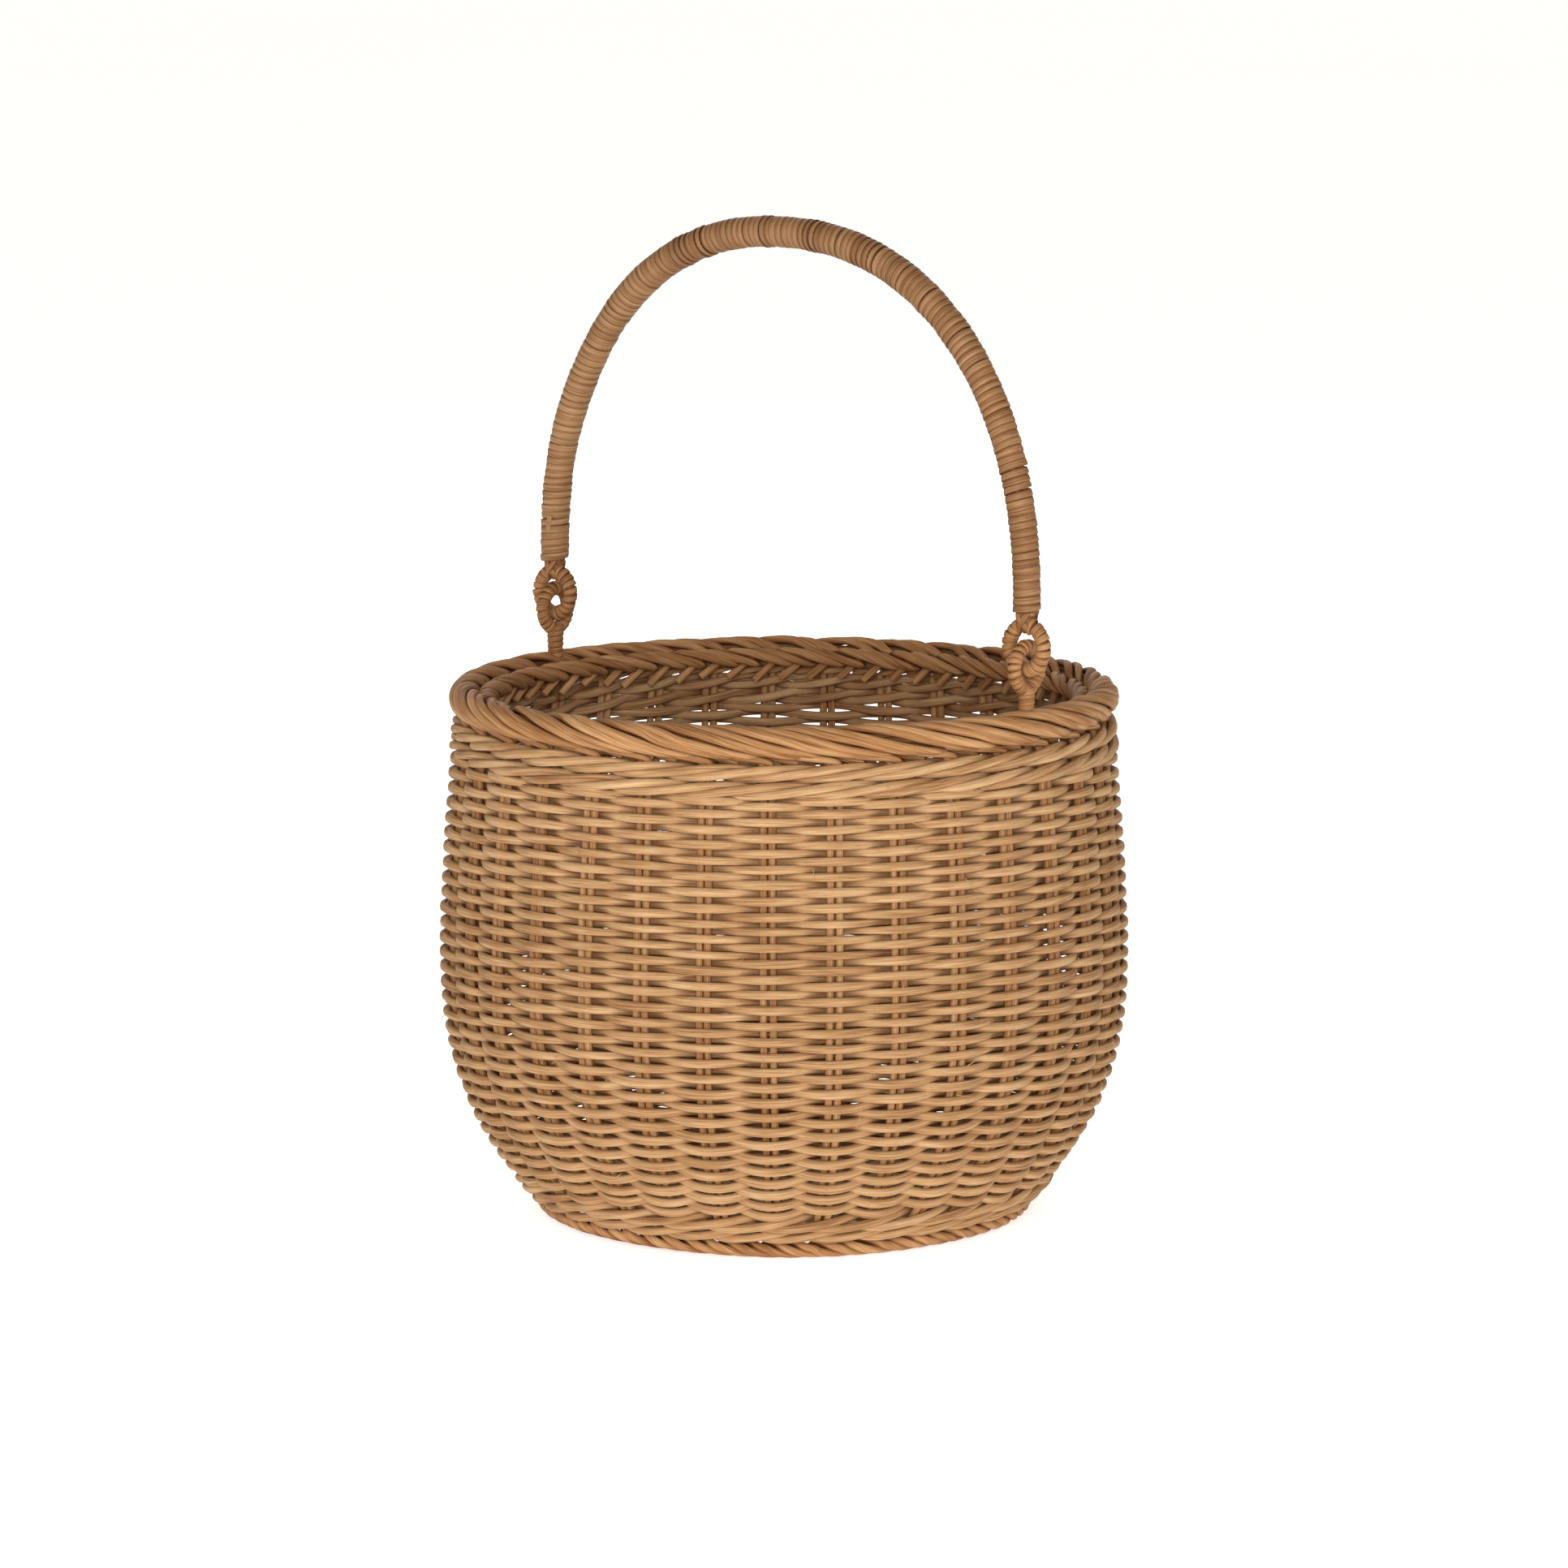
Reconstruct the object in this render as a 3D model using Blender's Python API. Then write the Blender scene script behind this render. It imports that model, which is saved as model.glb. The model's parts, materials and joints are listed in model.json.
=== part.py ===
"""Round wicker basket with a swing handle, modelled as separate closed solids.

Frame: origin at the centre of the foot's underside, +Z up, the handle's hinge line along X.
Every shape is a loft: a run of rings of points, joined ring to ring, capped or closed on itself.
"""
import math

import bmesh
import bpy
from mathutils import Vector

MM = 0.001
UP = Vector((0, 0, 1))
FULL_TURN = 2 * math.pi

# Driving dimensions
GAP = 0.3 * MM                      # clearance between pieces that touch on the real basket
STAKES = 33                         # odd, so that a plain weave alternates from round to round
STAKE_PHASE = math.radians(3.55)    # polar angle of the first stake
STAKE_WIDTH = 5.6 * MM              # two rods side by side
STAKE_DEPTH = 2.7 * MM
WEAVER = 2.8 * MM                   # thickness of the woven strands
BELLY_RADIUS = 120.4 * MM
BELLY_HEIGHT = 94 * MM
BELLY_DROP = 38.4 * MM              # how far the wall comes in from the belly to the ground
NECK_HEIGHT = 160 * MM
NECK_DROP = 4.2 * MM                # how far the wall comes in from the belly to the neck
FOOT_OUTLINE = [(80, 0), (87, 0), (88.8, 4), (90.2, 8), (82.5, 8), (80, 5)]      # mm, radius and height
BORDER_HEIGHT = (175.5 * MM, 187 * MM)
BORDER_RADIUS = (99.8 * MM, 116.3 * MM)
BORDER_SQUARENESS = 0.77            # power on sine and cosine: 1 is an ellipse, less is squarer
BAND_JOINTS = [z * MM for z in (9.8, 20.5, 34, 50, 72, 100, 131, 161.8, 175.2)]
STAKE_ROOT = [(79.6 * MM, 10 * MM), (84.2 * MM, 10.2 * MM)]     # radius and height, under the wall
BASE_HEIGHT = 9 * MM                # middle plane of the woven base
BASE_STICKS = 6
BASE_STICK_RADII = (1.8 * MM, 1.5 * MM)
BASE_STICK_SPACING = 4.5 * MM       # between the three sticks of each layer, at the middle
BASE_CROSS_HALF = 9 * MM            # the sticks run straight this far each way from the middle
BASE_FAN_RADIUS = 17 * MM           # and are fully fanned out here
BASE_STICK_TIP = 78 * MM
BASE_WEAVE_RADII = [r * MM for r in (19, 38, 58, 77)]
BASE_FLAT = math.radians(8)         # half the angle over which a round lies flat on a spoke
PIVOT = Vector((0, 0, 200.5 * MM))  # middle of the hinge line
EYE_SPREAD = 109 * MM               # from the basket's axis to each eye
EYE_ROPE = 2.5 * MM                 # radius of the bound rod that the eyes are bent from
BASKET_EYE = (6.6 * MM, 7.4 * MM)   # half width and half height of the centreline
BASKET_EYE_ABOVE_PIVOT = 1.6 * MM
HANDLE_EYE = (7.6 * MM, 7.9 * MM)
STEM_RADIUS = 2.4 * MM
STEM_BOTTOM = 176.5 * MM
ARCH_FOOT = 222 * MM                # height where the handle's legs start to curve
ARCH_RISE = 120.2 * MM
ARCH_ROUNDNESS = 2.2                # exponent of the arch's superellipse
LEG_END = 219.2 * MM
CORE_RADIUS = 4 * MM
WRAP_RADII = (4.3 * MM, 5.35 * MM)
BASE_WEAVER = 2.6 * MM              # thickness of the base's rounds

# Distances that follow from them
STRAND_OFFSET = STAKE_DEPTH / 2 + GAP + WEAVER / 2
WALL_HALF = STRAND_OFFSET + WEAVER / 2
BASE_OFFSET = BASE_STICK_RADII[1] + GAP + BASE_WEAVER / 2

RATTAN = {
    "stake": ((0.46, 0.24, 0.09), 0.6),
    "weave": ((0.50, 0.27, 0.11), 0.62),
    "border": ((0.48, 0.25, 0.10), 0.58),
    "base": ((0.42, 0.22, 0.09), 0.65),
    "eye": ((0.40, 0.20, 0.08), 0.6),
    "core": ((0.36, 0.20, 0.09), 0.7),
    "wrap": ((0.52, 0.30, 0.13), 0.5),
}


def rattan(name, kind):
    """A Principled material in one of the rattan tones."""
    colour, roughness = RATTAN[kind]
    made = bpy.data.materials.new(name)
    made.use_nodes = True
    shader = made.node_tree.nodes["Principled BSDF"]
    shader.inputs["Base Color"].default_value = (*colour, 1)
    shader.inputs["Roughness"].default_value = roughness
    shader.inputs["Metallic"].default_value = 0
    return made


def loft(name, rings, kind, closed=False, origin=Vector((0, 0, 0)), parent=None):
    """One closed solid through a run of rings, with its origin at the given point."""
    mesh = bpy.data.meshes.new(name)
    work = bmesh.new()
    rows = [[work.verts.new(Vector(point) - origin) for point in ring] for ring in rings]
    pairs = list(zip(rows, rows[1:] + rows[:1])) if closed else list(zip(rows, rows[1:]))
    for near, far in pairs:
        for i in range(len(near)):
            j = (i + 1) % len(near)
            work.faces.new((near[i], near[j], far[j], far[i]))
    if not closed:
        work.faces.new(rows[0])
        work.faces.new(rows[-1])
    bmesh.ops.recalc_face_normals(work, faces=work.faces)
    work.to_mesh(mesh)
    work.free()
    solid = bpy.data.objects.new(name, mesh)
    bpy.context.scene.collection.objects.link(solid)
    mesh.materials.append(rattan(name, kind))
    mesh.shade_smooth()
    mesh.set_sharp_from_angle(angle=math.radians(50))
    if parent is None:
        solid.location = origin
    else:
        solid.parent = parent
    return solid


def polar(radius, angle, height):
    return Vector((radius * math.cos(angle), radius * math.sin(angle), height))


def oval(centre, across, along, half_across, half_along, sides):
    """Points of an oval in the plane of two unit vectors."""
    ring = []
    for i in range(sides):
        turn = FULL_TURN * (i + 0.5) / sides
        ring.append(centre + across * half_across * math.cos(turn) + along * half_along * math.sin(turn))
    return ring


def tube(path, plane_normal, half_across, half_along, sides, closed=False):
    """Rings of an oval section along a path that lies in one plane."""
    rings = []
    last = len(path) - 1
    for i, point in enumerate(path):
        before = path[i - 1] if closed or i > 0 else point
        after = path[(i + 1) % len(path)] if closed or i < last else point
        direction = (after - before).normalized()
        rings.append(oval(point, plane_normal, direction.cross(plane_normal), half_across, half_along, sides))
    return rings


def wall_radius(height):
    """Outer radius of the woven wall: full below the belly, slightly drawn in above it."""
    if height < BELLY_HEIGHT:
        return BELLY_RADIUS - BELLY_DROP * (1 - height / BELLY_HEIGHT) ** 2.6
    return BELLY_RADIUS - NECK_DROP * ((height - BELLY_HEIGHT) / (NECK_HEIGHT - BELLY_HEIGHT)) ** 1.5


def wall_slope(height):
    step = 0.5 * MM
    return (wall_radius(height + step) - wall_radius(height - step)) / (2 * step)


def wall_point(height, angle, offset):
    """A point at an offset along the wall's outward normal from the middle of its thickness."""
    slope = wall_slope(height)
    scale = 1 / math.hypot(1, slope)
    radius = wall_radius(height) - WALL_HALF * scale
    return polar(radius + offset * scale, angle, height + (WALL_HALF - offset) * slope * scale)


def stake_angle(index):
    return STAKE_PHASE + FULL_TURN * index / STAKES


def make_stakes():
    """Upright double rods, each turned in under the wall where it leaves the base."""
    for index in range(STAKES):
        angle = stake_angle(index)
        path = [polar(radius, angle, height) for radius, height in STAKE_ROOT]
        path += [wall_point(height, angle, 0) for height in BAND_JOINTS]
        sideways = Vector((-math.sin(angle), math.cos(angle), 0))
        rings = tube(path, sideways, STAKE_WIDTH / 2, STAKE_DEPTH / 2, 6)
        loft(f"stake_{index + 1:02d}", rings, "stake")


def make_band(name, low, high, parity):
    """A strip that passes outside one stake and inside the next, once round the wall."""
    low += GAP / 2
    high -= GAP / 2
    half_flat = STAKE_WIDTH / 2 + 0.5 * MM
    stops = []
    for index in range(STAKES):
        side = 1 if (index + parity) % 2 == 0 else -1
        spread = half_flat / wall_radius((low + high) / 2)
        stops += [(stake_angle(index) - spread, side), (stake_angle(index) + spread, side)]
    reach = FULL_TURN / STAKES / 2 - 0.4 * MM / BELLY_RADIUS
    stops = [(stake_angle(0) - reach, 0)] + stops + [(stake_angle(STAKES - 1) + reach, 0)]
    rings = []
    for angle, side in stops:
        middle = side * STRAND_OFFSET
        inner = middle - WEAVER / 2
        outer = middle + WEAVER / 2
        rings.append([
            wall_point(low, angle, inner), wall_point(low, angle, outer),
            wall_point(high, angle, outer), wall_point(high, angle, inner),
        ])
    loft(name, rings, "weave")


def make_bands():
    count = len(BAND_JOINTS) - 1
    for k in range(count):
        name = f"weave_band_{k}"
        if k == 0:
            name = "upsett_wale"
        if k == count - 1:
            name = "top_wale"
        make_band(name, BAND_JOINTS[k], BAND_JOINTS[k + 1], k % 2)


def ring_of(outline, segments):
    """Rings of a turned section, given as radius and height pairs."""
    return [[polar(r, FULL_TURN * i / segments, z) for r, z in outline] for i in range(segments)]


def make_borders():
    """Rolled border round the mouth, with a hole for each eye's stem, and the plaited foot."""
    middle_r = sum(BORDER_RADIUS) / 2
    middle_z = sum(BORDER_HEIGHT) / 2
    half_r = (BORDER_RADIUS[1] - BORDER_RADIUS[0]) / 2
    half_z = (BORDER_HEIGHT[1] - BORDER_HEIGHT[0]) / 2
    outline = []
    sides = 12
    for i in range(sides):
        turn = FULL_TURN * i / sides
        c = math.cos(turn)
        s = math.sin(turn)
        outline.append((middle_r + half_r * math.copysign(abs(c) ** BORDER_SQUARENESS, c),
                        middle_z + half_z * math.copysign(abs(s) ** BORDER_SQUARENESS, s)))
    border = loft("top_border", ring_of(outline, 2 * STAKES), "border", closed=True)
    for side in (-1, 1):
        centre = Vector((side * EYE_SPREAD, 0, 0))
        reach = [BORDER_HEIGHT[0] - 5 * MM, BORDER_HEIGHT[1] + 5 * MM]
        hole = [oval(centre + UP * z, Vector((1, 0, 0)), Vector((0, 1, 0)),
                     STEM_RADIUS + GAP, STEM_RADIUS + GAP, 10) for z in reach]
        cutter = loft(f"stem_hole_{side}", hole, "core")
        cutter.hide_render = True
        cutter.display_type = "WIRE"
        cut = border.modifiers.new("stem hole", "BOOLEAN")
        cut.operation = "DIFFERENCE"
        cut.object = cutter

    foot = [(r * MM, z * MM) for r, z in FOOT_OUTLINE]
    loft("foot_border", ring_of(foot, 2 * STAKES), "border", closed=True)


def fanned_half(turn, lift, j, outward):
    """Half of a base stick: straight across the middle, then out to its spoke."""
    spoke_angle = turn + outward * j * math.pi / BASE_STICKS + (0 if outward > 0 else math.pi)
    forward = polar(outward * BASE_CROSS_HALF, turn, lift + BASE_HEIGHT)
    sideways = polar(BASE_STICK_SPACING * j, turn + FULL_TURN / 4, 0)
    return [forward + sideways,
            polar(BASE_FAN_RADIUS, spoke_angle, BASE_HEIGHT),
            polar(BASE_STICK_TIP, spoke_angle, BASE_HEIGHT)]


def make_base():
    """Three sticks laid across three others, fanned into twelve spokes, with flat woven rounds."""
    for layer in (0, 1):
        turn = layer * FULL_TURN / 4
        lift = (BASE_STICK_RADII[1] + GAP / 2) * (1 - 2 * layer)
        for j in (-1, 0, 1):
            path = fanned_half(turn, lift, j, -1)[::-1] + fanned_half(turn, lift, j, 1)
            rings = []
            for i, point in enumerate(path):
                before = path[max(i - 1, 0)]
                after = path[min(i + 1, len(path) - 1)]
                direction = (after - before).normalized()
                across = UP.cross(direction).normalized()
                rings.append(oval(point, across, direction.cross(across), *BASE_STICK_RADII, 8))
            loft(f"base_stick_{3 * layer + j + 2}", rings, "base")

    spokes = 2 * BASE_STICKS
    for k in range(len(BASE_WEAVE_RADII) - 1):
        inner = BASE_WEAVE_RADII[k] + GAP
        outer = BASE_WEAVE_RADII[k + 1] - GAP
        rings = []
        for spoke in range(spokes):
            side = 1 if (spoke + k) % 2 == 0 else -1
            middle = BASE_HEIGHT + side * BASE_OFFSET
            low = middle - BASE_WEAVER / 2
            high = middle + BASE_WEAVER / 2
            for edge in (-1, 1):
                angle = FULL_TURN * spoke / spokes + edge * BASE_FLAT
                rings.append([polar(inner, angle, low), polar(outer, angle, low),
                              polar(outer, angle, high), polar(inner, angle, high)])
        loft(f"base_weave_{k + 1}", rings, "base", closed=True)


def ellipse_path(centre, across, half_across, half_up, count):
    return [centre + across * half_across * math.sin(FULL_TURN * i / count)
            - UP * half_up * math.cos(FULL_TURN * i / count) for i in range(count)]


def add_stem(eye, name, bottom, top, radius, parent=None):
    """Joins an upright stem to an eye, as one solid."""
    x_axis = Vector((1, 0, 0))
    y_axis = Vector((0, 1, 0))
    origin = PIVOT if parent else Vector((0, 0, 0))
    stem = loft(name, [oval(point, x_axis, y_axis, radius, radius, 10) for point in (bottom, top)],
                "eye", origin=origin, parent=parent)
    stem.hide_render = True
    stem.display_type = "WIRE"
    joined = eye.modifiers.new("stem", "BOOLEAN")
    joined.operation = "UNION"
    joined.object = stem


def make_eyes(handle_axis):
    """At each side a fixed eye on the border, and the handle's loop linked through it."""
    x_axis = Vector((1, 0, 0))
    y_axis = Vector((0, 1, 0))
    for side, where in ((-1, "left"), (1, "right")):
        pivot = PIVOT + x_axis * side * EYE_SPREAD
        centre = pivot + UP * BASKET_EYE_ABOVE_PIVOT
        path = ellipse_path(centre, y_axis, *BASKET_EYE, 18)
        eye = loft(f"basket_eye_{where}", tube(path, x_axis, EYE_ROPE, EYE_ROPE, 8, closed=True),
                   "eye", closed=True)
        stem_top = centre - UP * (BASKET_EYE[1] + 0.4 * MM)
        stem_bottom = Vector((pivot.x, 0, STEM_BOTTOM))
        add_stem(eye, f"basket_stem_{where}", stem_bottom, stem_top, STEM_RADIUS)

        centre = pivot + UP * HANDLE_EYE[1]
        path = ellipse_path(centre, x_axis, *HANDLE_EYE, 18)
        loop = loft(f"handle_eye_{where}", tube(path, y_axis, EYE_ROPE, EYE_ROPE, 8, closed=True),
                    "eye", closed=True, origin=PIVOT, parent=handle_axis)
        stem_bottom = centre + UP * (HANDLE_EYE[1] + 0.4 * MM)
        stem_top = Vector((pivot.x, 0, ARCH_FOOT + 5 * MM))
        add_stem(loop, f"handle_stem_{where}", stem_bottom, stem_top, STEM_RADIUS, handle_axis)


def arch_path(first_height, count):
    """The handle's centreline from the right leg over the top to the left leg."""
    rise = max(first_height - ARCH_FOOT, 0) / ARCH_RISE
    start = math.asin(rise ** (ARCH_ROUNDNESS / 2))
    power = 2 / ARCH_ROUNDNESS
    path = []
    for i in range(count + 1):
        turn = start + (math.pi - 2 * start) * i / count
        c = math.cos(turn)
        path.append(Vector((EYE_SPREAD * math.copysign(abs(c) ** power, c), 0,
                            ARCH_FOOT + ARCH_RISE * max(math.sin(turn), 0) ** power)))
    if first_height < ARCH_FOOT:
        path.insert(0, Vector((EYE_SPREAD, 0, first_height)))
        path.append(Vector((-EYE_SPREAD, 0, first_height)))
    return path


def make_handle(handle_axis):
    """A bent core inside a sleeve of wound cane."""
    y_axis = Vector((0, 1, 0))
    core = tube(arch_path(ARCH_FOOT + 6 * MM, 24), y_axis, CORE_RADIUS, CORE_RADIUS, 8)
    loft("handle_core", core, "core", origin=PIVOT, parent=handle_axis)
    path = arch_path(LEG_END, 24)
    inner_radius, outer_radius = WRAP_RADII
    outside = tube(path, y_axis, outer_radius, outer_radius, 12)
    inside = tube(path, y_axis, inner_radius, inner_radius, 12)
    loft("handle_wrap", outside + inside[::-1], "wrap", closed=True, origin=PIVOT, parent=handle_axis)


def main():
    for old in list(bpy.data.objects):
        bpy.data.objects.remove(old)
    handle_axis = bpy.data.objects.new("handle_axis", None)
    bpy.context.scene.collection.objects.link(handle_axis)
    handle_axis.location = PIVOT
    make_stakes()
    make_bands()
    make_borders()
    make_base()
    make_eyes(handle_axis)
    make_handle(handle_axis)


main()
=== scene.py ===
"""Looks of the round wicker basket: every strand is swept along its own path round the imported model.

Paths are worked out in millimetres and become metres when a mesh is made. Angles are polar angles
about the basket's upright axis, in radians.
"""

import json
import math

import bpy
import numpy as np
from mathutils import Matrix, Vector


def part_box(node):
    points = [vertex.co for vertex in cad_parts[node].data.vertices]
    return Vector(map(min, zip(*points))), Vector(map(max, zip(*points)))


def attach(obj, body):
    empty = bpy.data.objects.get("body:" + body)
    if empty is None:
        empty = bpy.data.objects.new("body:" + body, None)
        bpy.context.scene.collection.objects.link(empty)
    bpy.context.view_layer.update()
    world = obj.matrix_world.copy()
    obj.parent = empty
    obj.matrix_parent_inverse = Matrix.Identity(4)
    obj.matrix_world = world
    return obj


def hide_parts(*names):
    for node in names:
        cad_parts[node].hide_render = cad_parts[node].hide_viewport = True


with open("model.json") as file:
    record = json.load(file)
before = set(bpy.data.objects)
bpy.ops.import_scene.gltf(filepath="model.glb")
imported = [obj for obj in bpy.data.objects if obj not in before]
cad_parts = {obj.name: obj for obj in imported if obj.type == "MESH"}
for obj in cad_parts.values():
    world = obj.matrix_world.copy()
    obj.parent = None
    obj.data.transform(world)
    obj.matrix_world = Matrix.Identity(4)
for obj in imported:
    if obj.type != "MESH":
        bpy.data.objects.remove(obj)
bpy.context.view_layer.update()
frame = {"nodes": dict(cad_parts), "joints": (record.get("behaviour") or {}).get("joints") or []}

MM = 0.001
TAU = 2 * math.pi
UP = np.array([0.0, 0.0, 1.0])
rng = np.random.default_rng(20)


# ---------------------------------------------------------------- sizes read from the frame

def box_mm(node):
    """The low and high corners of a node's box."""
    low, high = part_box(node)
    return np.array(low) / MM, np.array(high) / MM


border_low = box_mm("top_border")[0]
base_low, base_high = box_mm("base_weave_3")
wrap_low, wrap_high = box_mm("handle_wrap")
eye_low, eye_high = box_mm("basket_eye_right")
loop_low, loop_high = box_mm("handle_eye_right")
stake_middle = sum(box_mm("stake_01")) / 2

BORDER_BOTTOM = border_low[2]
BASE_MIDDLE = (base_low[2] + base_high[2]) / 2
LEG_END = wrap_low[2]       # height where the handle's wrapped legs end
HANDLE_TOP = wrap_high[2]
EYE_X = (eye_low[0] + eye_high[0]) / 2
HINGE_HEIGHT = frame["joints"][0]["pos_m"][2] / MM
STAKES = sum(1 for node in frame["nodes"] if node.startswith("stake_"))
STAKE_PHASE = math.atan2(stake_middle[1], stake_middle[0])
STEP = TAU / STAKES         # angle from one stake to the next

# ---------------------------------------------------------------- sizes of the strands and the wall

ROD = 1.36                  # radius of the upright rods
WEAVER = 1.41               # radius of the woven strand
ROW_PITCH = 2.62            # from one round of the weave to the next, along the wall
SWING = 2.68                # how far the woven strand goes out and in from the middle of the wall
WALL_HALF = 4.1             # from the middle of the wall to its outer face
BELLY_RADIUS = 120.4        # the wall's outer radius at its widest
BELLY_HEIGHT = 94.0         # height of that widest place
BELLY_DROP = 38.4           # how much narrower the wall gets down to the ground
BELLY_CURVE = 2.6           # 2 would be a parabola
NECK_HEIGHT = 160.0         # height where the drawing in is measured
NECK_DROP = 4.2             # how much narrower the wall gets from the belly up to the neck
NECK_CURVE = 1.5
WEAVE_START = 14.2          # height on the outer face where the plain weave starts
WEAVE_ROUNDS = 58
WEAVER_ROUNDS = (1.7, 3.2)  # shortest and longest woven strand, in rounds
BORDER_ROD = 1.45           # radius of the rods as they lie in the borders


# ---------------------------------------------------------------- the wall as a surface

def wall_radius(height):
    """Outer radius at a height: full below the belly, slightly drawn in above it."""
    below = BELLY_RADIUS - BELLY_DROP * np.clip(1 - height / BELLY_HEIGHT, 0, 2) ** BELLY_CURVE
    rise = np.clip((height - BELLY_HEIGHT) / (NECK_HEIGHT - BELLY_HEIGHT), 0, 2)
    return np.where(height < BELLY_HEIGHT, below, BELLY_RADIUS - NECK_DROP * rise ** NECK_CURVE)


# The middle of the wall, tabulated against the height on its outer face.
table_height = np.linspace(0, 190, 761)
table_slope = np.gradient(wall_radius(table_height), table_height)
table_cos = 1 / np.hypot(1, table_slope)
table_radius = wall_radius(table_height) - WALL_HALF * table_cos
table_rise = table_height + WALL_HALF * table_slope * table_cos
table_run = np.concatenate([[0], np.cumsum(np.hypot(np.diff(table_radius), np.diff(table_rise)))])


def run_at(height):
    """Length along the middle of the wall up to the point level with a height on its outer face."""
    return np.interp(height, table_height, table_run)


def wall_path(run, angle, offset):
    """Points and outward normals at lengths along the wall, polar angles and offsets from its middle."""
    run, angle, offset = np.broadcast_arrays(np.asarray(run, float), angle, offset)
    radius = np.interp(run, table_run, table_radius)
    rise = np.interp(run, table_run, table_rise)
    slope = np.interp(run, table_run, table_slope)
    cos = 1 / np.hypot(1, slope)
    radial = np.stack([np.cos(angle), np.sin(angle), np.zeros_like(radius)], -1)
    normal = radial * cos[..., None] - UP * (slope * cos)[..., None]
    return radial * radius[..., None] + UP * rise[..., None] + normal * offset[..., None], normal


def ring_path(radius, angle, height):
    """Points at radii, polar angles and heights."""
    radius, angle, height = np.broadcast_arrays(np.asarray(radius, float), angle, height)
    return np.stack([radius * np.cos(angle), radius * np.sin(angle), height], -1)


def unit(vectors):
    """The same directions at length 1."""
    return vectors / np.maximum(np.linalg.norm(vectors, axis=-1, keepdims=True), 1e-9)


def smooth_between(a, b, c, d, t):
    """The smooth curve from b to c at t, with a before them and d after."""
    return b + 0.5 * t * (c - a + t * (2 * a - 5 * b + 4 * c - d + t * (3 * (b - c) + d - a)))


def fade(values, low, high):
    """0 up to low, rising smoothly to 1 at high; the other way round if high is less."""
    place = np.clip((values - low) / (high - low), 0, 1)
    return place * place * (3 - 2 * place)


def drift(length, spacing, size):
    """A smooth random wander with about one swing per spacing samples."""
    knots = rng.normal(0, size, max(int(length / spacing) + 3, 4))
    at = np.linspace(0, len(knots) - 1.001, length)
    low = at.astype(int)
    blend = at - low
    blend = blend * blend * (3 - 2 * blend)
    return knots[low] * (1 - blend) + knots[low + 1] * blend


# ---------------------------------------------------------------- strands

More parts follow.
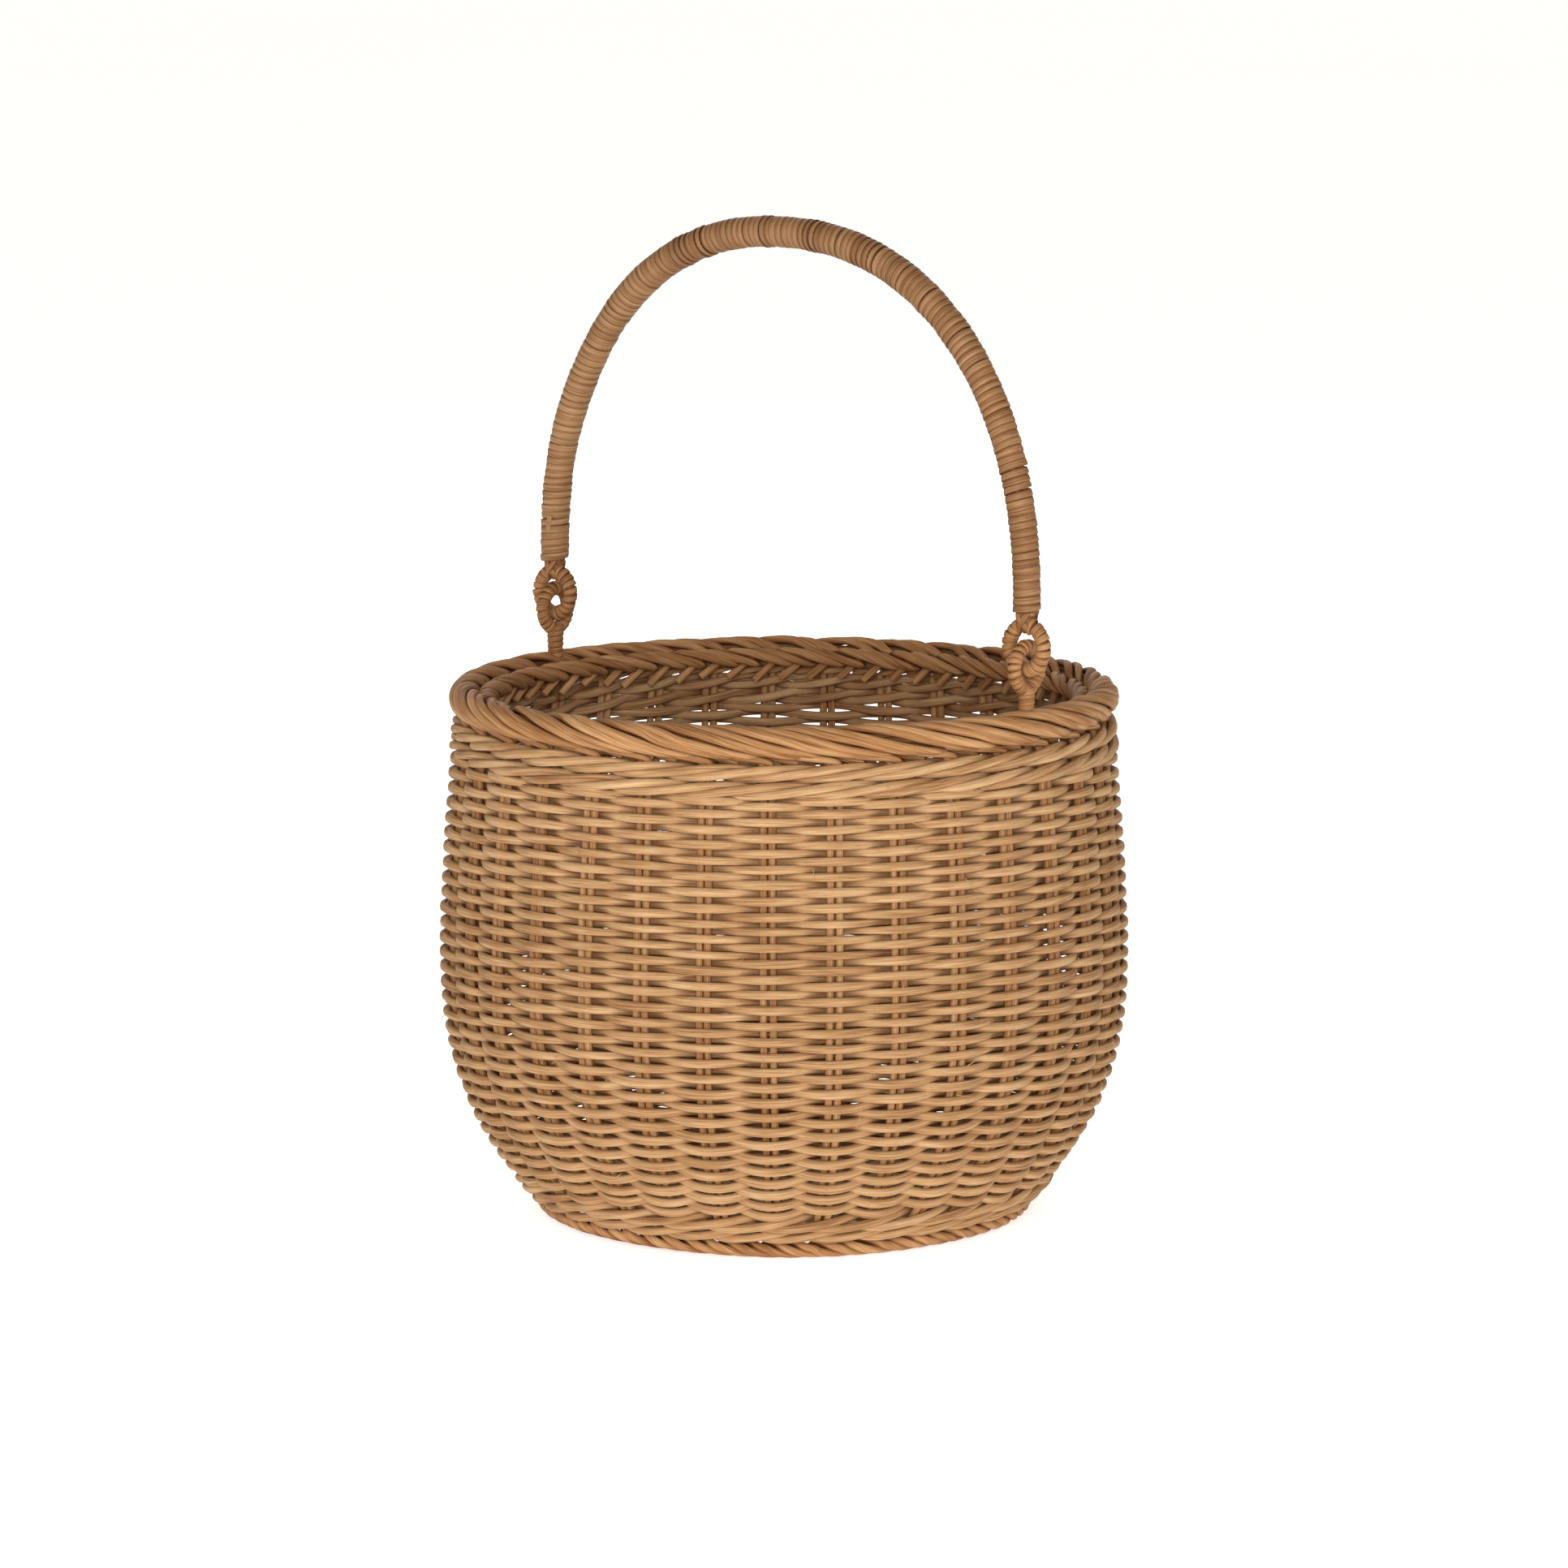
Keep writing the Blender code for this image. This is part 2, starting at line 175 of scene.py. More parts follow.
class Strands:
    """Gathers strands, each an oval section swept along a path, into one mesh.

    Each point keeps its grain (its places along and across the strand) and its strand's tone.
    """

    END_SIZE = 0.72         # a cut end's face, as a share of the strand's section

    def __init__(self):
        self.points = []
        self.faces = []
        self.grain = []
        self.tone = []
        self.count = 0

    def add(self, path, out, half_out, half_side, sides=8, tone=None, closed=False, bevel=0.35,
            square=1.0):
        """out points along the section's first axis; half_out and half_side are its half sizes.

        bevel is how far a cut end's face stands out, as a share of half_side. square below 1 makes
        the section boxier than an oval.
        """
        path = np.asarray(path, float)
        out = np.broadcast_to(out, path.shape)
        half_out = np.broadcast_to(np.asarray(half_out, float), len(path)).copy()
        half_side = np.broadcast_to(np.asarray(half_side, float), len(path)).copy()
        if closed:
            tangent = unit(np.roll(path, -1, 0) - np.roll(path, 1, 0))
        else:
            tangent = unit(np.gradient(path, axis=0))
            tip = bevel * half_side[[0, -1]]
            path = np.vstack([path[0] - tangent[0] * tip[0], path, path[-1] + tangent[-1] * tip[1]])
            tangent = np.vstack([tangent[:1], tangent, tangent[-1:]])
            out = np.vstack([out[:1], out, out[-1:]])
            half_out, half_side = (
                np.concatenate([[half[0] * self.END_SIZE], half, [half[-1] * self.END_SIZE]])
                for half in (half_out, half_side))
        out = unit(out - tangent * np.sum(out * tangent, -1, keepdims=True))
        side = np.cross(tangent, out)
        turn = TAU * np.arange(sides) / sides
        cos = (np.sign(np.cos(turn)) * np.abs(np.cos(turn)) ** square)[None, :, None]
        sin = (np.sign(np.sin(turn)) * np.abs(np.sin(turn)) ** square)[None, :, None]
        rings = (path[:, None] + out[:, None] * half_out[:, None, None] * cos
                 + side[:, None] * half_side[:, None, None] * sin)
        along = np.concatenate([[0], np.cumsum(np.linalg.norm(np.diff(path, axis=0), axis=1))])
        grain = np.empty_like(rings)
        grain[..., 0] = along[:, None] + rng.uniform(0, 4000)
        grain[..., 1] = half_out[:, None] * cos[..., 0]
        grain[..., 2] = half_side[:, None] * sin[..., 0]
        n = len(path)
        index = self.count + np.arange(n * sides).reshape(n, sides)
        after = np.roll(index, -1, 1)
        last = n if closed else n - 1
        near, far = index[:last], np.roll(index, -1, 0)[:last]
        near_after, far_after = after[:last], np.roll(after, -1, 0)[:last]
        self.faces += np.stack([near, near_after, far_after, far], -1).reshape(-1, 4).tolist()
        if not closed:
            self.faces.append(index[0][::-1].tolist())
            self.faces.append(index[-1].tolist())
        self.points.append(rings.reshape(-1, 3))
        self.grain.append(grain.reshape(-1, 3))
        self.tone.append(np.full(n * sides, rng.uniform(0, 1) if tone is None else tone))
        self.count += n * sides

    def make(self, name, material, body, slot, stands_for=(), painted_shade=None):
        """The last argument gives each point's painted shade, from 0 on the surface to 1 deep in the weave.
        """
        mesh = bpy.data.meshes.new(name)
        points = np.vstack(self.points)
        depth = np.zeros(len(points)) if painted_shade is None else np.clip(painted_shade(points), 0, 1)
        mesh.from_pydata((points * MM).tolist(), [], self.faces)
        layers = (("grain", "FLOAT_VECTOR", "vector", np.vstack(self.grain)),
                  ("tone", "FLOAT", "value", np.concatenate(self.tone)),
                  ("painted_shade", "FLOAT", "value", depth))
        for label, kind, field, values in layers:
            layer = mesh.attributes.new(label, kind, "POINT")
            layer.data.foreach_set(field, values.astype(np.float32).ravel())
        mesh.materials.append(material)
        mesh.shade_smooth()
        mesh.set_sharp_from_angle(angle=math.radians(55))
        piece = bpy.data.objects.new(name, mesh)
        bpy.context.scene.collection.objects.link(piece)
        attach(piece, body)
        if stands_for:
            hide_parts(*stands_for)
        return piece


def wall_painted_shade(points):
    """Painted shade: darkest beside the stakes near the middle of the wall, and a little on the inner face.
    """
    radius = np.hypot(points[:, 0], points[:, 1])
    height = points[:, 2]
    middle = np.interp(height, table_rise, table_radius)
    cos = np.interp(height, table_rise, table_cos)
    turn = (np.arctan2(points[:, 1], points[:, 0]) - STAKE_PHASE) * STAKES / 2
    by_stake = np.cos(turn) ** 2
    offset = (radius - middle) * cos
    return np.maximum(fade(np.abs(offset), 2.2, 0.6) * by_stake, 0.22 * fade(offset, 0.5, -1.5))


def roll_painted_shade(centre, size):
    """Painted shade: darkest towards the middle of a rolled border, and a little on its inner side."""
    def painted_shade(points):
        across = (np.hypot(points[:, 0], points[:, 1]) - centre[0]) / (size[0] + BORDER_ROD)
        up = (points[:, 2] - centre[1]) / (size[1] + BORDER_ROD)
        return np.maximum(fade(np.hypot(across, up), 0.98, 0.55), 0.36 * fade(across, 0.1, -0.8))
    return painted_shade


# ---------------------------------------------------------------- materials

class Nodes:
    """Short calls for building a material's node tree; a value is a number, a colour or a socket."""

    def __init__(self, name):
        self.material = bpy.data.materials.new(name)
        self.material.use_nodes = True
        self.tree = self.material.node_tree
        self.shader = self.tree.nodes["Principled BSDF"]

    def node(self, kind, **settings):
        made = self.tree.nodes.new(kind)
        for key, value in settings.items():
            setattr(made, key, value)
        return made

    def link(self, source, target):
        self.tree.links.new(source, target)

    def attribute(self, name):
        return self.node("ShaderNodeAttribute", attribute_name=name)

    def noise(self, vector, stretch, scale, detail=3.0, roughness=0.55):
        """Noise in a strand's own coordinates, stretched along it."""
        mapping = self.node("ShaderNodeMapping")
        mapping.inputs["Scale"].default_value = stretch
        self.link(vector, mapping.inputs["Vector"])
        noise = self.node("ShaderNodeTexNoise")
        noise.inputs["Scale"].default_value = scale
        noise.inputs["Detail"].default_value = detail
        noise.inputs["Roughness"].default_value = roughness
        self.link(mapping.outputs["Vector"], noise.inputs["Vector"])
        return noise.outputs["Fac"]

    def math(self, operation, first, second):
        made = self.node("ShaderNodeMath", operation=operation)
        for socket, value in zip(made.inputs, (first, second)):
            if isinstance(value, (int, float)):
                socket.default_value = value
            else:
                self.link(value, socket)
        return made.outputs[0]

    def remap(self, value, low, high, to_low, to_high):
        made = self.node("ShaderNodeMapRange")
        self.link(value, made.inputs["Value"])
        for label, number in (("From Min", low), ("From Max", high), ("To Min", to_low), ("To Max", to_high)):
            made.inputs[label].default_value = number
        return made.outputs["Result"]

    def ramp(self, value, stops):
        made = self.node("ShaderNodeValToRGB")
        bands = made.color_ramp.elements
        while len(bands) < len(stops):
            bands.new(0.5)
        for band, (position, colour) in zip(bands, stops):
            band.position = position
            band.color = (*colour, 1)
        self.link(value, made.inputs["Fac"])
        return made.outputs["Color"]

    def mix(self, share, first, second, blend="MIX"):
        made = self.node("ShaderNodeMix", data_type="RGBA", blend_type=blend)
        for socket, value in ((made.inputs[0], share), (made.inputs[6], first), (made.inputs[7], second)):
            if isinstance(value, (int, float)):
                socket.default_value = value
            elif isinstance(value, tuple):
                socket.default_value = (*value, 1)
            else:
                self.link(value, socket)
        return made.outputs[2]


def rattan(name, shade, streak=1.0, rough=(0.5, 0.75), bump=0.6, gloss=0.14, deep=(0.33, 0.175, 0.085),
           edge=None):
    """Natural rattan: long fibres, darker streaks, pores, a tone for each strand, and painted shade in the
    nooks.

    shade is a set of four tones, gloss the strength of the sheen, deep the tint of the painted shade in
    the nooks and of a flat strip's darker edges, and edge the half width of that strip.
    """
    made = Nodes(name)
    grain = made.attribute("grain").outputs["Vector"]
    tone = made.attribute("tone").outputs["Fac"]
    painted_shade = made.attribute("painted_shade").outputs["Fac"]
    fibre = made.noise(grain, (0.03, 1.1, 1.1), 2.3, 2.0, 0.6)
    streaks = made.noise(grain, (0.02, 0.5, 0.5), 1.0, 2.0)
    patches = made.noise(grain, (0.045, 0.1, 0.1), 1.0, 3.0)
    pores = made.noise(grain, (0.4, 2.2, 2.2), 1.5, 2.0)

    level = made.math("ADD", made.remap(fibre, 0.34, 0.66, -0.3 * streak, 0.3 * streak),
                      made.remap(streaks, 0.34, 0.66, -0.14 * streak, 0.14 * streak))
    level = made.math("ADD", level, made.remap(patches, 0.32, 0.68, -0.13, 0.13))
    level = made.math("ADD", level, made.remap(tone, 0, 1, 0.38, 0.7))
    colour = made.ramp(level, [(0.0, shade[0]), (0.35, shade[1]), (0.68, shade[2]), (1.0, shade[3])])
    speck = made.remap(pores, 0.67, 0.75, 0.0, 0.55)
    colour = made.mix(speck, colour, tuple(0.4 * c for c in shade[0]))
    # painted shade: the colour is multiplied towards the deep tint wherever a point's painted shade is high
    colour = made.mix(painted_shade, colour, deep, "MULTIPLY")
    if edge:
        split = made.node("ShaderNodeSeparateXYZ")
        made.link(grain, split.inputs[0])
        side = made.math("ABSOLUTE", split.outputs[2], 0)
        colour = made.mix(made.remap(side, 0.72 * edge, edge, 0.0, 0.75), colour, deep, "MULTIPLY")
    made.link(colour, made.shader.inputs["Base Color"])
    made.link(made.remap(fibre, 0.3, 0.7, *rough[::-1]), made.shader.inputs["Roughness"])
    made.shader.inputs["Specular IOR Level"].default_value = gloss

    relief = made.math("SUBTRACT", made.math("ADD", fibre, made.math("MULTIPLY", streaks, 0.6)),
                       made.math("MULTIPLY", speck, 0.6))
    bumps = made.node("ShaderNodeBump")
    bumps.inputs["Strength"].default_value = bump
    bumps.inputs["Distance"].default_value = 0.35 * MM
    made.link(relief, bumps.inputs["Height"])
    made.link(bumps.outputs["Normal"], made.shader.inputs["Normal"])
    return made.material


def shades(factor, warmth=0.0):
    """Dark, brown, straw and pale tones of the same rattan; warmth takes away green and more blue."""
    tones = ((0.215, 0.09, 0.031), (0.37, 0.186, 0.075), (0.505, 0.288, 0.132), (0.635, 0.40, 0.205))
    tint = (factor, factor * (1 - 0.5 * warmth), factor * (1 - warmth))
    return tuple(tuple(c * t for c, t in zip(colour, tint)) for colour in tones)


weave_rattan = rattan("rattan_weaver", shades(1.0, -0.1), streak=0.9)
stake_rattan = rattan("rattan_stake", shades(0.9, 0.14))
border_rattan = rattan("rattan_border", shades(0.95, 0.13), streak=0.95)
base_rattan = rattan("rattan_base", shades(0.85, 0.1))
cane = rattan("flat_cane", shades(0.69, 0.14), rough=(0.42, 0.62), bump=0.4, gloss=0.28, edge=1.35)
binding_cane = rattan("binding_cane", shades(0.72, 0.3), rough=(0.45, 0.65), bump=0.4, gloss=0.24,
                      edge=1.15)
# painted shade: this rattan is coloured far darker than the rest because its rods lie in shade, inside the
# border, under the handle's wrap and under the eyes' bindings
shade_dark_core_rattan = rattan("rattan_core_painted_shade", shades(0.4, 0.3))
fibre_rattan = rattan("loose_fibre", shades(1.2))


# ---------------------------------------------------------------- stakes

ROOT_RADIUS = np.array([79.8, 82.2])    # where a rod comes out from under the wall and turns up
ROOT_HEIGHT = np.array([10.2, 10.3])
STAKE_LOW = 10.5                        # height on the outer face where the rods meet the wall
BEND_BELOW = 2.5                        # how far below the border the rods start to bend over
BEND_LENGTH = 32


def stake_angle(index):
    """Polar angle of the middle of a pair of rods, counted from the first pair."""
    return STAKE_PHASE + STEP * index


def make_stakes():
    """A pair of upright rods at each stake, side by side, from under the base into the border.

    Above the waling both rods bend over and run on inside the border.
    """
    run = np.linspace(run_at(STAKE_LOW), run_at(BORDER_BOTTOM - BEND_BELOW), 58)
    bend = np.linspace(0, BEND_LENGTH, 28)[1:]
    for index in range(STAKES):
        pair = Strands()
        lean = rng.normal(0, 0.4) / BELLY_RADIUS
        for side in (-1, 1):
            sideways = side * (ROD + 0.08 + abs(rng.normal(0, 0.06))) + drift(len(run), 20, 0.14)
            radius = np.interp(run, table_run, table_radius)
            angle = stake_angle(index) + lean * np.linspace(-1, 1, len(run)) + sideways / radius
            path, normal = wall_path(run, angle, drift(len(run), 12, 0.1))
            root = ring_path(ROOT_RADIUS, stake_angle(index) + side * (ROD + 0.04) / 82, ROOT_HEIGHT)
            top = path[-1]
            top_radius = math.hypot(top[0], top[1])
            apart = 1 - np.exp(-bend / 5)
            rise = 2.7 * (1 - np.exp(-bend / 2.6)) + 0.12 * bend - side * 0.75 * apart
            aside = bend - 2.8 * (1 - np.exp(-bend / 2.8))
            over_angle = angle[-1] - aside / top_radius
            over_radius = top_radius + (0.6 + side * 1.25) * apart - 0.08 * bend
            over = ring_path(over_radius, over_angle, top[2] + rise)
            path = np.vstack([root, path, over])
            normal = np.vstack([normal[:1], normal[:1], normal, ring_path(1.0, over_angle, 0.0)])
            thick = ROD * (1 + drift(len(path), 15, 0.03))
            pair.add(path, normal, thick, thick, 8)
        number = f"{index + 1:02d}"
        pair.make(f"stake_pair_{number}", stake_rattan, "basket", "stakes", [f"stake_{number}"])


# ---------------------------------------------------------------- plain weave

def make_weave():
    """One strand after another, spiralling up the wall, out round one stake and in behind the next."""
    run_low = run_at(WEAVE_START)
    run_high = run_low + WEAVE_ROUNDS * ROW_PITCH
    bands = [node for node in frame["nodes"] if node.startswith("weave_band_")]
    bands.sort(key=lambda node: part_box(node)[0].z)
    pieces = [Strands() for band in bands]
    shortest, longest = WEAVER_ROUNDS
    total = WEAVE_ROUNDS * STAKES
    samples = 9
    start = 0
    while start < total:
        end = min(start + int(rng.integers(shortest * STAKES, longest * STAKES)), total)
        if total - end < STAKES:
            end = total
        # a strand starts and ends on the inside, just past a stake
        first = start - (start + 1) % 2 - 0.14
        last = end - (end + 1) % 2 + 0.26
        passed = np.arange(int((last - first) * samples) + 1) / samples + first
        n = len(passed)
        wave = np.cos(np.pi * passed)
        bulge = SWING * wave * (1.12 - 0.12 * wave * wave) * (1 + drift(n, samples, 0.04))
        ends_in = np.exp(-(last - passed) / 0.35)
        rounds = passed / STAKES
        # the last round lies down on the one below it
        rounds = rounds - np.clip(rounds - WEAVE_ROUNDS + 1, 0, 1) ** 2 / 2
        run = run_low + ROW_PITCH * rounds + 0.13 * wave + drift(n, samples, 0.14)
        angle = stake_angle(0) + STEP * passed
        path, normal = wall_path(run, angle, bulge - 1.2 * ends_in)
        size = WEAVER * (1 + rng.normal(0, 0.035)) * (1 + drift(n, 2 * samples, 0.04))
        upright = size * (1.0 + 0.1 * wave * wave) * (1 + 0.05 * fade(rounds, 30, 16))
        deep = size * (1.0 - 0.12 * wave * wave)
        level = int(np.interp(run.mean(), [run_low, run_high], [0, len(pieces) - 0.001]))
        pieces[level].add(path, normal, deep, upright, 10, rng.uniform(0.25, 0.75), square=0.82)
        start = end
    for k, (piece, band) in enumerate(zip(pieces, bands)):
        # the weave's strands get painted shade beside the stakes and on the wall's inner face
        piece.make(f"weaver_{k + 1}", weave_rattan, "basket", "weave", [band], painted_shade=wall_painted_shade)


# ---------------------------------------------------------------- waling

WALE_RODS = 3
# Where a waling strand lies as it passes three stakes, by half steps: in front of two, behind one.
WALE_OUT = (1.0, 1.22, 1.0, 0.15, -1.0, -0.1)
WALE_UP = (-0.85, 0.0, 0.85, 1.05, 0.1, -1.1)
WALE_RISE = 1.6             # how far a waling strand goes up and down
WALE_START = 1.12           # stakes before its first that a strand starts, behind one
WALE_OVERLAP = 0.24         # stakes that its two ends lie side by side


def through_keys(position, keys):
    """A smooth closed curve through evenly spaced keys, three stakes round."""
    keys = np.asarray(keys, float)
    at = np.mod(position, WALE_RODS) / WALE_RODS * len(keys)
    low = np.floor(at).astype(int)
    t = at - low
    return smooth_between(*(keys[(low + k) % len(keys)] for k in (-1, 0, 1, 2)), t)


def make_wale(name, low_height, high_height, node):
    """Two rounds of three-rod waling, each strand in front of two stakes and behind the third."""
    rounds = 2
    run_low = run_at(low_height)
    pitch = (run_at(high_height) - run_low) / rounds
    band = Strands()
    samples = 10
    count = int((STAKES + WALE_OVERLAP) * samples)
    for row in range(rounds):
        for strand in range(WALE_RODS):
            passed = strand + row - WALE_START + np.arange(count) / samples
            phase = passed - strand - row
            offset = SWING * 1.03 * through_keys(phase, WALE_OUT)
            wander = drift(count, samples, 0.12)
            wander[-samples:] *= np.linspace(1, 0, samples)
            wander[:samples] *= np.linspace(0, 1, samples)
            run = run_low + pitch * (row + 0.5) + through_keys(phase, WALE_UP) * WALE_RISE + wander
            path, normal = wall_path(run, stake_angle(0) + STEP * passed, offset)
            band.add(path, normal, 1.38, 1.5 * (1 + 0.25 * wander), 10, square=0.85)
    # the waling gets the same painted shade as the weave
    band.make(name, weave_rattan, "basket", "weave", [node], painted_shade=wall_painted_shade)


# ---------------------------------------------------------------- rolled borders

def roll_strand(start_angle, centre, size, course, samples):
    """Points and outward directions of a strand laid round a roll that runs round the basket.

    centre is the roll's radius and height, and size its half width and half height to the strand's
    middle. course pairs the strand's turn about the roll, in degrees up from straight out, with how
    far along the basket it has come.
    """
    turns, along = np.array(course, float).T
    place = np.linspace(0, len(turns) - 1, samples)
    low = np.minimum(place.astype(int), len(turns) - 2)
    t = place - low

    def smooth(values):
        padded = np.concatenate([[2 * values[0] - values[1]], values, [2 * values[-1] - values[-2]]])
        return smooth_between(*(padded[low + k] for k in range(4)), t)

    turn = np.radians(smooth(turns))
    angle = start_angle + smooth(along) / centre[0]
    radius = centre[0] + size[0] * np.cos(turn)
    height = centre[1] + size[1] * np.sin(turn)
    radial = ring_path(1.0, angle, 0.0)
    out = unit(radial * (np.cos(turn) / size[0])[:, None] + UP * (np.sin(turn) / size[1])[:, None])
    return ring_path(radius, angle, height), out


def taper(samples, share, tip):
    """1 along a strand, falling to tip over a share of its length at each end."""
    place = np.linspace(0, 1, samples)
    return tip + (1 - tip) * fade(np.minimum(place, 1 - place) / share, 0, 1)


def slipped(course, slip, wobble):
    """A roll's course moved along the basket at random, as a whole and place by place."""
    course = np.array(course, float)
    course[:, 1] += rng.normal(0, slip) + rng.normal(0, wobble, len(course))
    return course


def add_hoops(strands, centre, spread, count, radius):
    """Rods that run right round the basket inside a rolled border."""
    angle = np.linspace(0, TAU, 180, endpoint=False)
    for k in range(count):
        turn = TAU * k / count
        sway = 0.5 * np.sin(angle * STAKES / 3 + k)
        path = ring_path(centre[0] + spread * math.cos(turn) + 0.4 * sway, angle,
                         centre[1] + spread * math.sin(turn) + 0.5 * sway)
        strands.add(path, UP, radius, radius, 8, closed=True)


OUTER_ROLL = (110.7, 181.15)        # radius and height of the roll's middle
OUTER_SIZE = (4.1, 4.35)            # half its width and height, to the strands' middles
OUTER_COURSE = ((195, 0), (160, 5), (130, 10), (100, 15), (70, 21), (40, 28.5), (10, 37), (-20, 45.5),
                (-50, 54), (-80, 60), (-115, 65))
INNER_ROLL = (103.9, 180.1)
INNER_SIZE = (2.7, 2.3)
INNER_COURSE = ((265, 0), (230, 2.5), (195, 6.5), (160, 11.5), (125, 16.5), (90, 21), (45, 25))
INNER_HOOPS = (107.2, 178.6)        # middle of the rods hidden under the inner roll
STUB_RADIUS = 102.0                 # where the rods' cut ends lie on the inside
STUB_TOP = 181.7
TURNED_RADIUS = 109.2               # where the rods lean over under the outer roll
TURNED_LOW = 174.3


def make_top_border():
    """The rods' ends laid over in an outer and an inner roll, and cut off on the inside."""
    outer, inner, stubs, inside, turned = (Strands() for _ in range(5))
    for k in range(2 * STAKES):
        half = (k % 2 - 0.5) * STEP / 2
        middle = stake_angle(k // 2)

        centre = (OUTER_ROLL[0] + rng.normal(0, 0.15), OUTER_ROLL[1] + rng.normal(0, 0.12))
        course = slipped(OUTER_COURSE, 0.9, 0.6)
        path, out = roll_strand(middle + half * 0.72 - 0.05, centre, OUTER_SIZE, course, 40)
        thick = 1.5 * taper(40, 0.15, 0.5) * (1 + rng.normal(0, 0.06))
        outer.add(path, out, thick * 0.95, thick * 1.04, 10, square=0.9)

        course = slipped(INNER_COURSE, 0.5, 0.3)
        path, out = roll_strand(middle + half * 0.74 - 0.12, INNER_ROLL, INNER_SIZE, course, 36)
        thick = 1.5 * taper(36, 0.16, 0.55) * (1 + rng.normal(0, 0.05))
        inner.add(path, out, thick * 0.95, thick * 1.05, 10, square=0.9)

        length = rng.uniform(12, 14.5)
        down = math.radians(rng.uniform(38, 46))
        reach = np.linspace(0, 1, 8)
        start = middle + half * 0.98 + rng.normal(0, 0.004)
        along = start + reach * length * math.cos(down) / 103
        path = ring_path(STUB_RADIUS + 2.4 * reach, along, STUB_TOP - length * math.sin(down) * reach)
        stubs.add(path, ring_path(-1.0, along, 0.0), 1.3, 1.36, 10, bevel=0.08)
    # these rods inside the rolls fill the gaps under the border; their dark colour is painted shade
    add_hoops(inside, OUTER_ROLL, 1.5, 4, 1.35)
    add_hoops(inside, INNER_HOOPS, 1.2, 3, 1.3)
    for k in range(2 * STAKES):
        reach = np.linspace(0, 1, 12)
        along = stake_angle(0) + STEP / 2 * (k + rng.normal(0, 0.06)) - reach * rng.uniform(23, 27) / 108
        path = ring_path(TURNED_RADIUS - 1.6 * reach, along, TURNED_LOW + 6.4 * reach + rng.normal(0, 0.2))
        turned.add(path, ring_path(-1.0, along, 0.0), 1.3, 1.55 * taper(12, 0.1, 0.8), 8)
    # painted shade: the turned rods darken towards the top, where the outer roll covers them
    turned.make("border_turned_stakes", stake_rattan, "basket", "border",
                painted_shade=lambda points: fade(points[:, 2], 174, 179))
    # painted shade: both rolls darken towards their middles and on their inner sides
    outer.make("border_outer_roll", border_rattan, "basket", "border", ["top_border"],
               painted_shade=roll_painted_shade(OUTER_ROLL, OUTER_SIZE))
    inner.make("border_inner_roll", border_rattan, "basket", "border",
               painted_shade=roll_painted_shade(INNER_ROLL, INNER_SIZE))
    # painted shade: the cut ends darken towards the top, where they go under the inner roll
    stubs.make("border_cut_ends", stake_rattan, "basket", "border",
               painted_shade=lambda points: fade(points[:, 2], 176, 180))
    inside.make("border_inside_rods", shade_dark_core_rattan, "basket", "border")


FOOT_ROLL = (82.5, 3.1)
FOOT_SIZE = (2.9, 1.62)
FOOT_COURSE = ((190, 0), (150, 1.5), (115, 3), (80, 5), (45, 7), (10, 9.5), (-25, 12.5), (-60, 16.5),
               (-95, 22), (-140, 28))


def foot_lift(points):
    """The foot isn't quite flat: it stands a little off the ground towards both sides."""
    angle = np.arctan2(points[:, 1], points[:, 0])
    left, right = (np.cos(angle - math.radians(side)) for side in (228, 25))
    return 1.1 * fade(left, -0.1, 0.9) + 0.7 * fade(right, 0.2, 1.0)


def make_foot():
    """The foot's roll: the rods come out under the waling, turn down and run on round the underside."""
    foot = Strands()
    for k in range(2 * STAKES):
        angle = stake_angle(k // 2) + (k % 2 - 0.5) * STEP / 2 * 0.92 + rng.normal(0, 0.003)
        course = np.array(FOOT_COURSE, float)
        course[:, 1] += rng.normal(0, 0.3, len(course))
        path, out = roll_strand(angle, FOOT_ROLL, FOOT_SIZE, course, 34)
        path[:, 2] += foot_lift(path)
        thick = 1.44 * taper(34, 0.14, 0.75) * (1 + rng.normal(0, 0.03))
        foot.add(path, out, thick * 0.97, thick * 1.03, 10, square=0.9)
    # painted shade: the foot's roll darkens towards its middle and on its inner side
    foot.make("foot_roll", border_rattan, "basket", "border", ["foot_border"],
              painted_shade=roll_painted_shade(FOOT_ROLL, FOOT_SIZE))


# ---------------------------------------------------------------- woven base

STICK_REACH = 78            # half length of a stick
STICK_SPACING = 4.5         # from one stick to the next in the crossed bundles
STICK_LIFT = 1.65           # how far each bundle lies above or below the base's middle
BINDING_START = 8.9         # radius where the strands start binding the bundles
PAIRING_START = 17.0
PAIRING_END = 80.6
PAIRING_PITCH = 2.75


